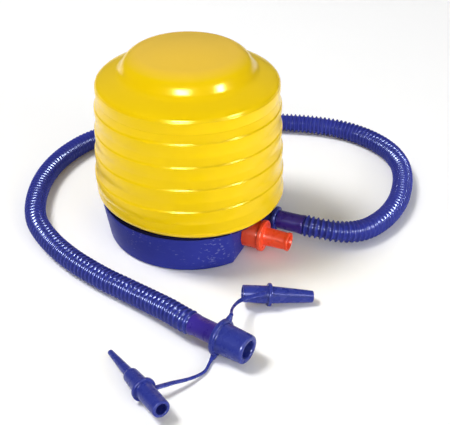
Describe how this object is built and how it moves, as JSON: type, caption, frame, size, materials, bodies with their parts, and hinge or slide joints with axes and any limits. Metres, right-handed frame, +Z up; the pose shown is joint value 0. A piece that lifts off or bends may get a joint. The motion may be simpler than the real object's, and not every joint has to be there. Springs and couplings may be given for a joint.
{
  "type": "bellows foot pump",
  "caption": "Round foot-operated bellows pump with a domed foot pad, a side inlet, and a corrugated hose ending in a connector with tethered nozzles.",
  "frame": {"origin": "middle of the base's flat underside, on the surface the pump stands on", "axes": "+Z up along the bellows; both ports are on the flat side, which faces +X turned 26 degrees towards -Y"},
  "size_m": [0.3346, 0.3935, 0.1554],
  "materials": {
    "yellow_vinyl": "glossy soft vinyl, blow-moulded",
    "blue_plastic": "glossy injection-moulded plastic",
    "violet_plastic": "glossy soft plastic",
    "red_plastic": "glossy injection-moulded plastic",
    "white_plastic": "plain moulded plastic, hidden",
    "black_rubber": "soft rubber",
    "spring_steel": "drawn wire"
  },
  "bodies": {
    "pump_base": {"base_cup": "blue_plastic", "bellows_deck": "blue_plastic", "bellows_clamp_ring": "blue_plastic", "bellows_folds": "yellow_vinyl", "return_spring": "spring_steel", "outlet_port": "blue_plastic", "outlet_valve_seat": "blue_plastic", "inlet_hub": "red_plastic", "inlet_spout": "red_plastic", "inlet_nut": "blue_plastic", "hose": "blue_plastic", "hose_cuff_pump_end": "violet_plastic", "hose_cuff_tool_end": "violet_plastic"},
    "pedal": {"foot_pad": "yellow_vinyl", "pad_stiffener": "white_plastic"},
    "outlet_flap": {"outlet_valve_flap": "black_rubber"},
    "inlet_flap": {"inlet_valve_flap": "black_rubber"},
    "connector": {"end_connector": "blue_plastic"},
    "medium_tether": {"medium_strap": "blue_plastic", "medium_nozzle": "blue_plastic"},
    "small_tether": {"small_strap": "blue_plastic", "small_nozzle": "blue_plastic"}
  },
  "joints": [
    {"name": "pad_press", "type": "slide", "parent": "pump_base", "child": "pedal", "axis": [0, 0, 1], "range_m": [-0.06, 0], "stiffness_N_per_m": 1200, "springref_m": 0.002, "deforming": ["bellows_folds", "return_spring"]},
    {"name": "outlet_flap_lift", "type": "slide", "parent": "pump_base", "child": "outlet_flap", "axis": [0.8988, -0.4384, 0], "range_m": [0, 0.0018]},
    {"name": "inlet_flap_lift", "type": "slide", "parent": "pump_base", "child": "inlet_flap", "axis": [-0.8988, 0.4384, 0], "range_m": [0, 0.0019]},
    {"name": "connector_pull", "type": "slide", "parent": "pump_base", "child": "connector", "axis": [0.788, -0.6157, 0], "range_m": [0, 0.02]},
    {"name": "medium_tether_flex", "type": "hinge", "parent": "connector", "child": "medium_tether", "pos_m": [0.026, -0.1456, 0.024], "axis": [0, 0, 1], "range_deg": [-30, 20]},
    {"name": "small_tether_flex", "type": "hinge", "parent": "connector", "child": "small_tether", "pos_m": [0.0109, -0.1655, 0.0022], "axis": [0, 0, 1], "range_deg": [-15, 30]}
  ]
}
